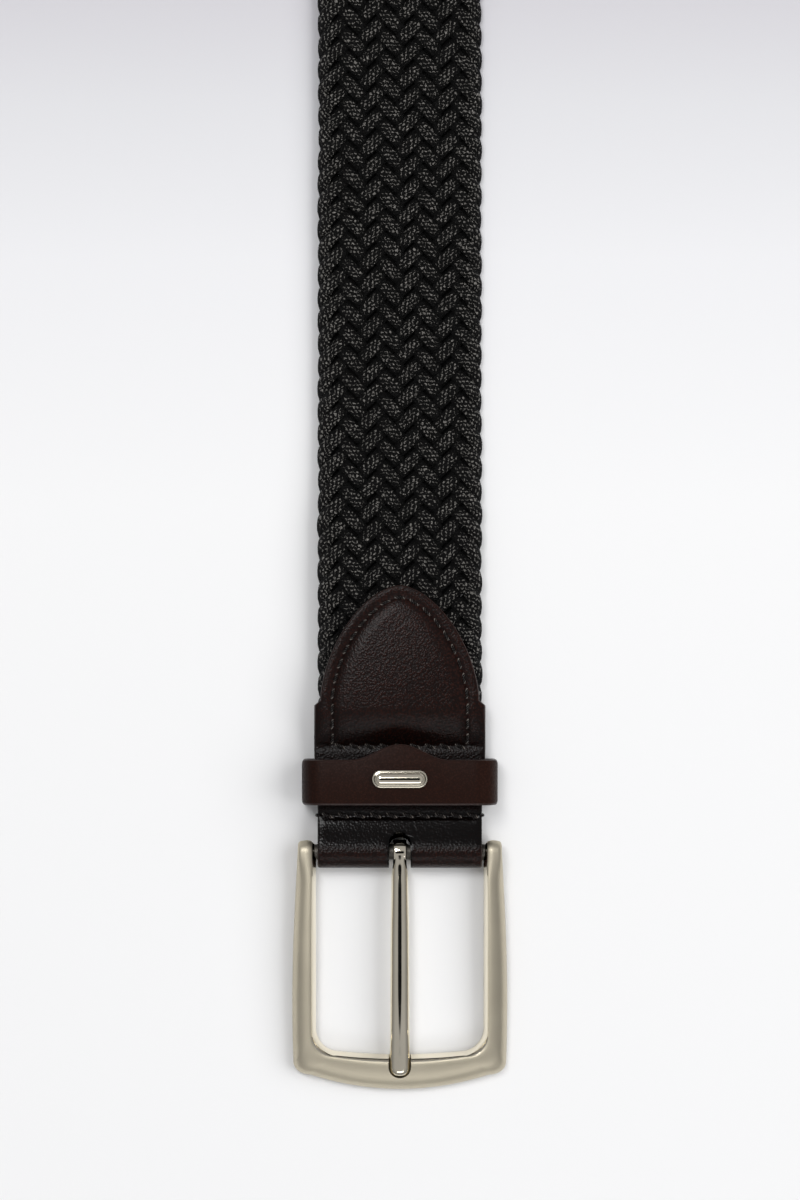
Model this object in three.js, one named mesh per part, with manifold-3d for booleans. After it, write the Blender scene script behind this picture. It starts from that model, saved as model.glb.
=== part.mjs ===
// A braided belt lying open and flat: an elastic braid, a leather tab folded round the buckle's bar,
// a leather keeper loop with a small metal plate, a cast frame buckle with its prong, and a leather tip.
// Millimetres, +Z up. The belt runs along Y, with the buckle towards -Y, and lies on Z = 0.
import * as THREE from "three";
import { mergeVertices } from "three/addons/utils/BufferGeometryUtils.js";
import Module from "manifold-3d";

const wasm = await Module();
wasm.setup();

// Braid
const beltLength = 1048; // from the bar's axis to the end of the tip
const strapWidth = 35;
const strapThickness = 3.5;
const settleLength = 36; // over which the braid comes down from the leather to the ground

// Leather
const leatherThickness = 1.25;
const layerClearance = 0.3; // between a leather layer and what it covers
const foldClearance = 0.5; // between the bar and the leather folded round it

// Leather tab at the buckle, measured from the bar's axis
const tabWaistWidth = 35.7;
const tabBaseWidth = 37.2;
const tabHeadWidth = 34.5;
const tabHeadLength = 25.7;
const tabHeadPower = 1.7; // of the superellipse that draws the pointed arch
const firstSeamReach = 8;
const secondSeamReach = 23;
const seamToBraid = 3; // from the second seam to the braid's hidden end
const riseLength = 8.5; // over which the leather climbs from the seam onto the braid
const tabShoulderReach = 32.3; // where the wide base steps in to the arch
const tabShoulderStep = 0.6;
const tabEdgeDroop = 1.3;
const slotReach = 4.5;
const slotWidth = 4.7;

// Keeper loop
const keeperStart = 10.35;
const keeperBand = 9.9;
const keeperArchHeight = 3.4;
const keeperArchSpan = 21.4;
const keeperSlack = 1.4; // beside the leather that it holds
const keeperThroat = 4.55; // free height above that leather
const keeperShoulder = 3.6; // inner radius of its upper corners
const keeperHeel = 1; // inner radius of its lower corners

// Plain plate on the keeper
const plateLength = 12;
const plateWidth = 3.9;
const plateRim = 0.75;
const plateBaseHeight = 0.7;
const plateCrownHeight = 0.6;

// Buckle frame, measured from the bar's axis
const barRadius = 1.7;
const windowClearance = 0.35; // beside the leather fold
const windowReach = 44.1;
const windowCorner = 5;
const windowEndSag = 0.7;
const frameReach = 51.7;
const frameCorner = 2.8;
const frameEndSag = 3.1;
const armWidth = 4;
const armBulge = 0.95;
const armTopHeight = 2.6; // above the bar's axis
const endBarHeight = 4.7;
const frameArch = 0.35;
const frameBend = 1.9; // shapes how the frame comes down from the bar to the ground
const armEndLength = 7; // over which an arm's rounder end goes over into its section

// Prong
const eyeWall = 0.75;
const eyeClearance = 0.35;
const prongWidth = 4.4;
const neckWidth = 2.9;
const shankHeight = 2.85;
const prongReach = 48.9;
const notchClearance = 0.6;
const eyeSlit = 0.35;
const eyeSlitAngle = 34; // degrees behind the top of the eye

// Leather tip at the free end
const tipLength = 75;
const tipWidth = 35.7;
const tipPointLength = 24;
const tipPointPower = 2.1;
const tipBraidHold = 26; // length of braid inside the tip
const tipEdgeDroop = 0.7;

// Values worked out from the sizes above
const foldMid = barRadius + foldClearance + leatherThickness / 2;
const pinchMid = (layerClearance + leatherThickness) / 2;
const padMid = strapThickness / 2 + layerClearance + leatherThickness / 2;
const barHeight = Math.max(foldMid, padMid, armTopHeight) + leatherThickness / 2;
const tabApexReach = tabShoulderReach + tabHeadLength;
const strapStart = secondSeamReach + seamToBraid;
const tipMouth = beltLength - tipLength;
const strapEnd = tipMouth + tipBraidHold;
const windowHalf = tabWaistWidth / 2 + windowClearance;
const eyeHole = barRadius + eyeClearance;
const eyeRadius = eyeHole + eyeWall;
const keeperRoof = barHeight + pinchMid + leatherThickness / 2 + keeperThroat;
const originShift = (frameReach - beltLength) / 2;

// Short helpers
const lerp = THREE.MathUtils.lerp;
const ease = (t) => THREE.MathUtils.smoothstep(t, 0, 1);
const steps = (from, to, count) => Array.from({ length: count + 1 }, (_, i) => lerp(from, to, i / count));
const point = (x, y, z) => new THREE.Vector3(x, y, z);

// A closed skin through rings of equally many points, with its two ends closed across.
function loft(rings) {
  const size = rings[0].length;
  const index = [];
  for (let r = 0; r + 1 < rings.length; r++) {
    for (let i = 0; i < size; i++) {
      const a = r * size + i;
      const b = r * size + ((i + 1) % size);
      index.push(a, b, b + size, a, b + size, a + size);
    }
  }
  const last = (rings.length - 1) * size;
  for (let i = 0; i + 1 < size / 2; i++) {
    const [a, b, c, d] = [i, i + 1, size - 2 - i, size - 1 - i];
    index.push(a, c, b, a, d, c, last + a, last + b, last + c, last + a, last + c, last + d);
  }
  const geometry = new THREE.BufferGeometry().setFromPoints(rings.flat());
  geometry.setIndex(index);
  return facingOut(geometry);
}

// Turns the faces of a closed geometry round if they face inwards.
function facingOut(geometry) {
  const p = geometry.getAttribute("position");
  const index = geometry.getIndex();
  const corner = [0, 1, 2].map(() => new THREE.Vector3());
  let volume = 0;
  for (let i = 0; i < index.count; i += 3) {
    corner.forEach((c, k) => c.fromBufferAttribute(p, index.getX(i + k)));
    volume += corner[0].dot(corner[1].clone().cross(corner[2]));
  }
  if (volume < 0) {
    geometry.setIndex(Array.from(index.array).reverse());
  }
  geometry.computeVertexNormals();
  return geometry;
}

function toSolid(geometry) {
  const bare = geometry.clone();
  bare.deleteAttribute("normal");
  bare.deleteAttribute("uv");
  const merged = mergeVertices(bare, 1e-4);
  return new wasm.Manifold(
    new wasm.Mesh({
      numProp: 3,
      vertProperties: new Float32Array(merged.getAttribute("position").array),
      triVerts: new Uint32Array(merged.getIndex().array),
    }),
  );
}

function toGeometry(solid) {
  const mesh = solid.getMesh();
  const geometry = new THREE.BufferGeometry();
  geometry.setAttribute("position", new THREE.BufferAttribute(new Float32Array(mesh.vertProperties), 3));
  geometry.setIndex(new THREE.BufferAttribute(new Uint32Array(mesh.triVerts), 1));
  geometry.computeVertexNormals();
  return geometry;
}

// A plan outline standing between two heights.
function standing(shape, low, high, curveSegments = 10) {
  const geometry = new THREE.ExtrudeGeometry(shape, { depth: high - low, bevelEnabled: false, curveSegments });
  return geometry.translate(0, 0, low);
}

// A slot outline: straight sides with a half-round at each end, between two places on Y.
function slotShape(width, low, high) {
  const r = width / 2;
  const shape = new THREE.Shape();
  shape.moveTo(-r, low + r);
  shape.absarc(0, low + r, r, Math.PI, 2 * Math.PI, false);
  shape.absarc(0, high - r, r, 0, Math.PI, false);
  shape.closePath();
  return shape;
}

// How far a leather layer's middle lies from the belt's middle plane, by its distance from the bar's axis.
function layerHeight(y) {
  if (y < firstSeamReach) {
    return lerp(foldMid, pinchMid, ease(Math.max(y, 0) / firstSeamReach));
  }
  return lerp(pinchMid, padMid, ease((y - secondSeamReach) / riseLength));
}

function tabHalfWidth(y) {
  const widening = ease((y - firstSeamReach) / (secondSeamReach - firstSeamReach));
  const base = lerp(tabWaistWidth, tabBaseWidth, widening) / 2;
  return Math.min(base, y > tabShoulderReach ? tabHeadWidth / 2 : base);
}

// The rows of one layer of the tab, from the head's point to the bar: place on Y and half width.
function tabRows() {
  const arch = steps(86, 0, 14).map((degrees) => {
    const angle = THREE.MathUtils.degToRad(degrees);
    return {
      y: tabShoulderReach + tabShoulderStep + (tabHeadLength - tabShoulderStep) * Math.sin(angle) ** (2 / tabHeadPower),
      half: (tabHeadWidth / 2) * Math.cos(angle) ** (2 / tabHeadPower),
      wing: 0,
    };
  });
  const base = [
    ...steps(tabShoulderReach, secondSeamReach, 8),
    ...steps(secondSeamReach, firstSeamReach, 4).slice(1),
    ...steps(firstSeamReach, 0, 8).slice(1),
  ].map((y) => ({ y, half: tabHalfWidth(y), wing: 1 }));
  return [...arch, ...base];
}

// One ring of a leather sheet: its outer face across and its inner face back, with the rims drooping.
const sheetShares = [-1, -0.97, -0.92, -0.86, -0.5, 0, 0.5, 0.86, 0.92, 0.97, 1];
const rimStart = 0.86;
function sheetRing({ y, z, ny, nz, half, droop }) {
  const face = (side) =>
    sheetShares.map((share) => {
      const past = Math.max(0, Math.abs(share) - rimStart) / (1 - rimStart);
      const rise = (side * leatherThickness) / 2 - droop * past ** 2;
      return point(share * half, y + ny * rise, z + nz * rise);
    });
  return [...face(1), ...face(-1).reverse()];
}

// Leather tab: one strip, folded round the bar, with its two heads over and under the braid's end.
function leatherTab() {
  const droopAt = (row) => (row.wing * tabEdgeDroop * (layerHeight(row.y) - pinchMid)) / (padMid - pinchMid);
  const layer = (side) =>
    tabRows().map((row) =>
      sheetRing({
        y: row.y,
        z: barHeight + side * layerHeight(row.y),
        ny: 0,
        nz: side,
        half: row.half,
        droop: row.y > secondSeamReach ? droopAt(row) : 0,
      }),
    );
  const turn = steps(0, 180, 12)
    .slice(1, -1)
    .map((degrees) => {
      const angle = THREE.MathUtils.degToRad(degrees);
      const [ny, nz] = [-Math.sin(angle), Math.cos(angle)];
      return sheetRing({
        y: foldMid * ny,
        z: barHeight + foldMid * nz,
        ny,
        nz,
        half: tabWaistWidth / 2,
        droop: 0,
      });
    });
  const strip = toSolid(loft([...layer(1), ...turn, ...layer(-1).reverse()]));
  const slot = standing(slotShape(slotWidth, -3 * foldMid, slotReach), -barHeight, 3 * barHeight);
  return toGeometry(strip.subtract(toSolid(slot)));
}

// How thick the braid is inside the leather at either end, where the layers squeeze it.
function strapRoom(y) {
  const tabRoom = 2 * (layerHeight(y) - layerClearance) - leatherThickness;
  const tipRoom = tipInside(y) - leatherThickness - 2 * layerClearance;
  return Math.min(strapThickness, tabRoom, tipRoom);
}

// The height of the tip's upper layer's inner face.
function tipInside(y) {
  const full = leatherThickness + 2 * layerClearance + strapThickness;
  const closed = leatherThickness + layerClearance;
  const fallStart = tipMouth + tipBraidHold * 0.6;
  return lerp(full, closed, ease((y - fallStart) / (tipBraidHold * 0.85)));
}

// The height of the braid's middle: held by the tab, down to the ground, and up into the tip.
function strapMiddle(y) {
  const low = strapThickness / 2;
  if (y < (tabApexReach + tipMouth) / 2) {
    return lerp(barHeight, low, ease((y - tabApexReach) / settleLength));
  }
  const inTip = leatherThickness + layerClearance + strapRoom(y) / 2;
  return lerp(low, inTip, ease((y - tipMouth + settleLength) / settleLength));
}

function strapRing(y) {
  const z = strapMiddle(y);
  const r = strapRoom(y) / 2;
  const side = (sign) =>
    steps(90, -90, 6).map((degrees) => {
      const angle = THREE.MathUtils.degToRad(degrees);
      const x = strapWidth / 2 - r + r * Math.cos(angle);
      return point(sign * x, y, z + sign * r * Math.sin(angle));
    });
  return [...side(1), ...side(-1)];
}

// Braided strap: one solid with round edges.
function braidedStrap() {
  const places = [
    ...steps(strapStart, secondSeamReach + riseLength, 4),
    ...steps(tabApexReach, tabApexReach + settleLength, 8),
    ...steps(tipMouth - settleLength, tipMouth, 8),
    ...steps(tipMouth + tipBraidHold * 0.6, strapEnd, 4),
  ];
  return loft(places.map(strapRing));
}

// The keeper's section: a rectangle with one radius at its upper corners and one at its lower corners.
function loopShape(half, low, high, shoulder, heel) {
  const shape = new THREE.Shape();
  shape.moveTo(-half + heel, low);
  shape.absarc(half - heel, low + heel, heel, -Math.PI / 2, 0, false);
  shape.absarc(half - shoulder, high - shoulder, shoulder, 0, Math.PI / 2, false);
  shape.absarc(-half + shoulder, high - shoulder, shoulder, Math.PI / 2, Math.PI, false);
  shape.absarc(-half + heel, low + heel, heel, Math.PI, 1.5 * Math.PI, false);
  return shape;
}

// Keeper: a leather band round the belt, whose front edge rises in a low arch.
function keeperLoop() {
  const wall = leatherThickness;
  const half = tabBaseWidth / 2 + keeperSlack + wall;
  const roof = keeperRoof + wall;
  const ring = loopShape(half, 0, roof, keeperShoulder + wall, keeperHeel + wall);
  ring.holes.push(loopShape(half - wall, wall, keeperRoof, keeperShoulder, keeperHeel));
  const length = keeperBand + keeperArchHeight;
  const tube = new THREE.ExtrudeGeometry(ring, { depth: length, bevelEnabled: false, curveSegments: 8 });
  tube.rotateX(Math.PI / 2).translate(0, keeperStart + length, 0);

  const rear = keeperStart - 1;
  const edge = keeperStart + keeperBand;
  const outline = new THREE.Shape();
  outline.moveTo(-half - 1, rear);
  outline.lineTo(half + 1, rear);
  outline.lineTo(half + 1, edge);
  steps(1, -1, 20).forEach((t) => {
    const rise = keeperArchHeight * Math.cos((t * Math.PI) / 2) ** 2;
    outline.lineTo((t * keeperArchSpan) / 2, edge + rise);
  });
  outline.lineTo(-half - 1, edge);
  outline.closePath();
  const middle = roof / 2;
  const upper = toSolid(standing(outline, middle, roof + 1));
  const lower = toSolid(
    new THREE.BoxGeometry(2 * half + 2, keeperBand + 1, middle + 1).translate(
      0,
      (rear + edge) / 2,
      (middle - 1) / 2,
    ),
  );
  return toGeometry(toSolid(tube).intersect(upper.add(lower)));
}

// Plain plate: a rounded bar with a flat rim and a raised middle.
function keeperPlate() {
  const lying = (length, width, low, high) =>
    toSolid(standing(slotShape(width, -length / 2, length / 2), low, high).rotateZ(Math.PI / 2));
  const base = lying(plateLength, plateWidth, 0, plateBaseHeight);
  const crown = lying(
    plateLength - 2 * plateRim,
    plateWidth - 2 * plateRim,
    plateBaseHeight / 2,
    plateBaseHeight + plateCrownHeight,
  );
  return toGeometry(base.add(crown));
}

// The frame's section from its inner edge (across 0) to its outer edge (across 1), base 0 to crest 1:
// its height along the frame, and its height where an arm ends round the bar.
const frameSection = [
  { across: 0.05, height: 0, atBar: 0 },
  { across: 0, height: 0.1, atBar: 0.14 },
  { across: 0, height: 0.55, atBar: 0.86 },
  { across: 0.09, height: 0.82, atBar: 0.95 },
  { across: 0.2, height: 0.98, atBar: 0.99 },
  { across: 0.3, height: 1, atBar: 1 },
  { across: 0.5, height: 0.97, atBar: 0.99 },
  { across: 0.7, height: 0.87, atBar: 0.98 },
  { across: 0.86, height: 0.68, atBar: 0.95 },
  { across: 0.96, height: 0.42, atBar: 0.89 },
  { across: 1, height: 0.22, atBar: 0.5 },
  { across: 0.96, height: 0.06, atBar: 0.11 },
  { across: 0.86, height: 0, atBar: 0.05 },
  { across: 0.5, height: 0, atBar: 0.01 },
];

// A stretch of plan outline: an arm side, a rounded corner and half an end, walked by one share.
function frameEdge(half, reach, corner, sag, bulge) {
  const cornerY = -(reach - sag) + corner;
  const cornerX = half - corner;
  const arm = (t) => [half + bulge * Math.sin(Math.PI * t * 0.8), cornerY * t];
  const end = (t) => {
    const x = cornerX * (1 - t);
    return [x, -reach + sag * (x / cornerX) ** 2];
  };
  const armEnd = arm(1);
  const endStart = end(0);
  const round = (t) => {
    const angle = (t * Math.PI) / 2;
    return [
      endStart[0] + (armEnd[0] - endStart[0]) * Math.cos(angle),
      armEnd[1] + (endStart[1] - armEnd[1]) * Math.sin(angle),
    ];
  };
  return { arm, round, end };
}

// The frame's height over the ground at a distance from the bar: its base and its crest.
function frameHeights(y) {
  const t = THREE.MathUtils.clamp(-y / frameReach, 0, 1);
  const fall = Math.sin((Math.PI / 2) * t) ** frameBend;
  const arch = frameArch * Math.sin(Math.PI * t);
  return {
    base: lerp(barHeight - armTopHeight, 0, fall) + arch * (1 - t),
    crest: lerp(barHeight + armTopHeight, endBarHeight, fall) + arch,
  };
}

function frameRing(inner, outer, mirror) {
  return frameSection.map(({ across, height, atBar }) => {
    const x = lerp(inner[0], outer[0], across);
    const y = lerp(inner[1], outer[1], across);
    const { base, crest } = frameHeights(y);
    return point(mirror * x, y, lerp(base, crest, lerp(atBar, height, ease(-y / armEndLength))));
  });
}

// Buckle frame: two arms and an end bar in one sweep, with round arm ends, the bar and the prong's notch.
function buckleFrame() {
  const inside = frameEdge(windowHalf, windowReach, windowCorner, windowEndSag, 0);
  const outside = frameEdge(windowHalf + armWidth, frameReach, frameCorner, frameEndSag, armBulge);
  const side = (mirror) =>
    [
      ...steps(0, 1, 9).map((t) => ["arm", t]),
      ...steps(0, 1, 8).slice(1).map((t) => ["round", t]),
      ...steps(0, 1, 7).slice(1).map((t) => ["end", t]),
    ].map(([stretch, t]) => frameRing(inside[stretch](t), outside[stretch](t), mirror));
  const sweep = toSolid(loft([...side(1), ...side(-1).reverse().slice(1)]));

  const armEnd = frameSection
    .filter(({ atBar }) => atBar >= 0.5)
    .map(({ across, atBar }) => new THREE.Vector2(armTopHeight * (2 * atBar - 1), across * armWidth));
  const profile = [new THREE.Vector2(0, 0), ...armEnd];
  const knob = new THREE.LatheGeometry(profile, 24).rotateZ(-Math.PI / 2);
  const knobs = [1, -1].map((sign) => {
    const one = toSolid(facingOut(mergeVertices(knob.clone().deleteAttribute("normal").deleteAttribute("uv"), 1e-4)));
    return (sign > 0 ? one : one.mirror([1, 0, 0])).translate([sign * windowHalf, 0, barHeight]);
  });
  const barLength = 2 * windowHalf + armWidth;
  const bar = new THREE.CylinderGeometry(barRadius, barRadius, barLength, 24)
    .rotateZ(Math.PI / 2)
    .translate(0, 0, barHeight);

  const notchWidth = prongWidth + 2 * notchClearance;
  const notchEnd = prongReach + notchClearance;
  const notchFloor = prongSeat() - layerClearance;
  const notch = standing(slotShape(notchWidth, -notchEnd, -windowReach / 2), notchFloor, barHeight * 3);
  return toGeometry(
    sweep.add(knobs[0]).add(knobs[1]).add(toSolid(bar)).subtract(toSolid(notch)),
  );
}

// The prong's rows: shares of its reach and width, and its underside and top as shares of its height.
const prongRows = [
  { reach: 0, wide: 0.66, low: 0.08, high: 1 },
  { reach: 0.053, wide: 0.67, low: 0, high: 0.99 },
  { reach: 0.078, wide: 0.77, low: -0.04, high: 0.97 },
  { reach: 0.102, wide: 0.83, low: -0.04, high: 0.96 },
  { reach: 0.184, wide: 0.87, low: -0.02, high: 0.98 },
  { reach: 0.33, wide: 0.92, low: 0, high: 1.01 },
  { reach: 0.51, wide: 0.94, low: 0, high: 1 },
  { reach: 0.72, wide: 0.96, low: -0.06, high: 0.93 },
  { reach: 0.86, wide: 0.99, low: -0.16, high: 0.83 },
  { reach: 0.94, wide: 1, low: -0.22, high: 0.73 },
  { reach: 0.965, wide: 0.97, low: -0.23, high: 0.66 },
  { reach: 0.982, wide: 0.88, low: -0.23, high: 0.55 },
  { reach: 0.993, wide: 0.7, low: -0.22, high: 0.38 },
  { reach: 1, wide: 0.42, low: -0.2, high: 0.15 },
];
const shankFloor = barHeight + eyeRadius - shankHeight;

// The lowest point of the prong, which rests over the floor of the frame's notch.
function prongSeat() {
  return shankFloor + Math.min(...prongRows.map((row) => row.low)) * shankHeight;
}

function prongRing({ reach, wide, low, high }) {
  const half = (wide * prongWidth) / 2;
  const y = -reach * prongReach;
  const bottom = shankFloor + low * shankHeight;
  const top = shankFloor + high * shankHeight;
  const belly = lerp(bottom, top, 0.42);
  const crown = steps(0, 180, 8).map((degrees) => {
    const angle = THREE.MathUtils.degToRad(degrees);
    return point(half * Math.cos(angle), y, belly + (top - belly) * Math.sin(angle));
  });
  const under = [
    { across: -0.9, sink: 0.75 },
    { across: -0.55, sink: 1 },
    { across: 0.55, sink: 1 },
    { across: 0.9, sink: 0.75 },
    { across: 1, sink: 0.05 },
  ].map(({ across, sink }) => point(half * across, y, lerp(belly, bottom, sink)));
  return [...crown, ...under];
}

// Prong: an eye rolled round the bar, and a shank that rests in the frame's notch.
function prong() {
  const across = (radius, width) => new THREE.CylinderGeometry(radius, radius, width, 28).rotateZ(Math.PI / 2);
  const at = (geometry) => toSolid(geometry.translate(0, 0, barHeight));
  const slit = new THREE.BoxGeometry(2 * neckWidth, eyeSlit, 2 * eyeWall)
    .translate(0, 0, eyeHole + eyeWall)
    .rotateX(THREE.MathUtils.degToRad(-eyeSlitAngle));
  return toGeometry(
    at(across(eyeRadius, neckWidth))
      .add(toSolid(loft(prongRows.map(prongRing))))
      .subtract(at(across(eyeHole, 2 * prongWidth)))
      .subtract(at(slit)),
  );
}

// The tip's rows from the mouth to the rounded end: place on Y and half width.
function tipRows() {
  const straight = [
    ...steps(tipMouth, tipMouth + tipBraidHold * 0.6, 1),
    ...steps(tipMouth + tipBraidHold * 0.6, tipMouth + tipBraidHold * 1.45, 8).slice(1),
  ].map((y) => ({ y, half: tipWidth / 2 }));
  const round = steps(0, 88, 12).map((degrees) => {
    const angle = THREE.MathUtils.degToRad(degrees);
    return {
      y: beltLength - tipPointLength + tipPointLength * Math.sin(angle) ** (2 / tipPointPower),
      half: (tipWidth / 2) * Math.cos(angle) ** (2 / tipPointPower),
    };
  });
  return [...straight, ...round];
}

// Upper leather of the tip: over the braid's end, then down onto the lower leather.
function tipFront() {
  const closed = leatherThickness + layerClearance;
  const full = closed + layerClearance + strapThickness;
  return loft(
    tipRows().map(({ y, half }) => {
      const inside = tipInside(y);
      const droop = (tipEdgeDroop * (inside - closed)) / (full - closed);
      return sheetRing({ y, z: inside + leatherThickness / 2, ny: 0, nz: 1, half, droop });
    }),
  );
}

// Lower leather of the tip: flat on the ground.
function tipBack() {
  return loft(
    tipRows().map(({ y, half }) => sheetRing({ y, z: leatherThickness / 2, ny: 0, nz: 1, half, droop: 0 })),
  );
}

// Materials
const material = (color, roughness, metalness) => new THREE.MeshStandardMaterial({ color, roughness, metalness });
const braid = material(0x1c1c1d, 0.75, 0);
const leather = material(0x2a1917, 0.45, 0);
const brushedMetal = material(0xb3ab97, 0.38, 1);
const polishedMetal = material(0xc9c2ae, 0.15, 1);

const belt = new THREE.Group();
belt.position.y = originShift;
function place(name, geometry, look, x = 0, y = 0, z = 0) {
  const mesh = new THREE.Mesh(geometry, look);
  mesh.name = name;
  mesh.position.set(x, y, z);
  belt.add(mesh);
}

place("braided_strap", braidedStrap(), braid);
place("leather_tab", leatherTab(), leather);
place("keeper_loop", keeperLoop(), leather);
const plateHeight = keeperRoof + leatherThickness + layerClearance;
place("keeper_plate", keeperPlate(), polishedMetal, 0, keeperStart + keeperBand * 0.58, plateHeight);
place("buckle_frame", buckleFrame(), brushedMetal);
place("buckle_prong", prong(), polishedMetal);
place("tip_front", tipFront(), leather);
place("tip_back", tipBack(), leather);

const part = new THREE.Group();
part.add(belt);

export default part;
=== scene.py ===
"""Braided belt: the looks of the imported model. Lengths in the helpers are millimetres from the bar's axis."""
import math

import bmesh
import bpy
import numpy as np
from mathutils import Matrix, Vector


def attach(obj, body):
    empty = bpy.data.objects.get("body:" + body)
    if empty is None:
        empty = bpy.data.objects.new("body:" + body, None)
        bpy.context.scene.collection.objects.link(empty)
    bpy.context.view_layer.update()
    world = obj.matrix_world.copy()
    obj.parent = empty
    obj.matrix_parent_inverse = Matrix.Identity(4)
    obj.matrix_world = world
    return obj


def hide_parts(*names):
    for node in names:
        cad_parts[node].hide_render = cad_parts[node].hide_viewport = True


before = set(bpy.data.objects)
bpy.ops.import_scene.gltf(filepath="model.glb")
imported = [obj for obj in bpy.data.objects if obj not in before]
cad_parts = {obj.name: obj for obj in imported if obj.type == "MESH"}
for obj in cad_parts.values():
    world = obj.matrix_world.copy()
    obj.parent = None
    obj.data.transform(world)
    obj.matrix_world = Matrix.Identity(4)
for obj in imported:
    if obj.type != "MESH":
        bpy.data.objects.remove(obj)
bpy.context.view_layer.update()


def table(columns, *rows):
    """Rows of values under the columns' names."""
    return [dict(zip(columns.split(), row)) for row in rows]


# Where the bar's axis is in the model, in metres
BAR_Y = -0.49815
MM = 0.001

# Braid
STRANDS = 17
SLOT = 2.075  # across, between two strands' places
RISE = 2.478  # along the belt, for each place that a strand moves
STRAND_WIDTH = 3.08
STRAND_THICKNESS = 1.8
STRAND_LIFT = 0.84
EDGE_IN = 0.985  # keeps the turns of the strands inside the strap's edge
STRAND_STEP = 0.4  # between two rings of a strand, in places
STRAND_LEAN = 0.18  # how far a strand runs ahead across the belt where it lies on top, in places
BRAID_START = 27.5
BRAID_END = 995
STRAP_THICKNESS = 3.5
SETTLE = 36  # length over which the strap sinks from the leather down to the ground
STRAND_SIDES = 12
STRAND_POWER = 2.25  # roundness of a strand's section, 2 for an ellipse
CREST = 0.4  # how flat a strand's wave is where it lies on top
TURN_REACH = 0.75  # how near the edge a strand grows thicker, in places
TURN_SWELL = 1.22
LIT_EDGE = 0.35  # how much less painted shade the strands' turns at the edges get
# how far in from the edge that lessened painted shade reaches, in places
LIT_REACH = 1.2

# Unevenness of a strand: how many places apart its bends are, and how large they are
STRAY_ACROSS = {"spacing": 2.5, "amount": 0.06}
STRAY_WIDTH = {"spacing": 3, "amount": 0.03}

# Leather
LEATHER = 1.25
GAP = 0.3
BELT_LENGTH = 1048

# Leather tab
WAIST_HALF = 17.85
BASE_HALF = 18.6
HEAD_HALF = 17.25
HEAD_LENGTH = 25.7
HEAD_POWER = 1.7
FIRST_SEAM = 8
SECOND_SEAM = 23
CLIMB = 8.5
SHOULDER = 32.3
SHOULDER_STEP = 0.6
SLOT_END = 4.5
LOWER_SLOT_END = 3.2
SLOT_HALF = 2.35
SEAM_INSET = 2.6

# Keeper
KEEPER_START = 10.35
KEEPER_BAND = 9.9
KEEPER_ARCH = 3.4
KEEPER_ARCH_SPAN = 21.4
KEEPER_HALF = 20  # inside
KEEPER_ROOF = 9.4  # inside
KEEPER_SHOULDER = 3.6
KEEPER_HEEL = 1
KEEPER_CORNER = 0.7  # seen from above
KEEPER_CROWN = 0.3  # how much lower the band is at its shoulders than in its middle
CROWN_HALF = 5  # half the length of the high middle
CROWN_FALL = 12  # length over which it falls on each side
PLATE_Y = 16.09
PLATE_LENGTH = 12
PLATE_WIDTH = 3.9

# Buckle
BAR_RADIUS = 1.7
BAR_HEIGHT = 3.45
WINDOW_HALF = 18.2
WINDOW_REACH = 44.1
WINDOW_CORNER = 5
WINDOW_SAG = 0.7
FRAME_REACH = 51.7
FRAME_CORNER = 2.8
FRAME_SAG = 3.1
ARM_WIDTH = 4
ARM_BULGE = 1.2
BOW_SPAN = 0.7  # share of a half wave that the arm's bow takes up
BAR_HOLD = 1.5  # how far the bar reaches into an arm
ARM_TOP = 2.6
END_BAR = 4.7
FRAME_ARCH = 0.35
FRAME_BEND = 1.9
ARM_END = 7
EYE_HOLE = 2.05
EYE_RADIUS = 2.8
PRONG_WIDTH = 4.4
NECK_WIDTH = 2.9
SHANK_HEIGHT = 2.85
PRONG_REACH = 48.9

# Tip
TIP_LENGTH = 75
TIP_HALF = 17.85
TIP_POINT = 24
TIP_POWER = 2.1
TIP_HOLD = 26
TIP_WING = 15.5  # where the upper layer begins to droop towards the edge
TIP_DROOP = 0.7
TIP_PUFF = 0.7  # share of the tab's padding

# Stitches
STITCH = 3.4
STITCH_FILL = 0.86  # share of the pitch that a stitch covers
THREAD = 0.78
THREAD_SIDES = 8
THREAD_FLAT = 0.8
CROSS_SLANT = 0.55  # how far a stitch of a seam across the tab lies askew
CROSS_THREAD = THREAD * 0.62
GLINT = np.array([0.4, 0.8, 0.6, 0.45, 0.45, 0.45, 0.6, 1.0, 0.6])  # painted glint: how light a stitch's colour is along its length

# Camera and light
SCALE = 0.2174  # millimetres for a pixel of the photograph
PHOTO_SIZE = (800, 1200)
BAR_PIXEL = (399.8, 852)
CAMERA_HEIGHT = 1.2

# Soft boxes: azimuth from the right-hand side turning to the far end, height over the floor, both in degrees
LAMPS = table(
    "name azimuth height distance size power mirrored",
    ("key_right", 5, 41, 2.2, (2.4, 1.7), 37.5, False),
    ("sheen_left", 125, 67, 1.1, (0.35, 0.45), 4.2, True),
    ("fill_near", 275, 40, 1.1, (0.9, 0.3), 1.6, True),
)

# The tent: the dark hole above the object, and how bright it is in all, near the floor and on the left
TENT = {"hole_x": 0.34, "hole_y": 0.2, "dark": 0.015, "bright": 0.4, "low": 0.6, "left": 0.95}

# The floor's colour from the bar's axis to the far end of the view, in shares of this length in metres: painted
# shade, darker towards the far end
FLOOR_FADE = 0.6
FLOOR_HALF = 6
FLOOR = table(
    "at colour",
    (0.127, (0.86, 0.86, 0.862)),
    (0.215, (0.80, 0.80, 0.815)),
    (0.272, (0.705, 0.705, 0.725)),
    (0.31, (0.62, 0.61, 0.64)),
    (0.6, (0.72, 0.72, 0.74)),
)

# The braid's yarn: how far its cords lean from the strand in degrees, how far apart they are and how long a turn
# of their twist is in millimetres, by how much of a turn each is ahead of the next, and how they stray
CORD = {"slant": 15, "spacing": 0.72, "twist": 0.95, "step": 0.62, "wander": 1500, "stray": 1.5}

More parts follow.
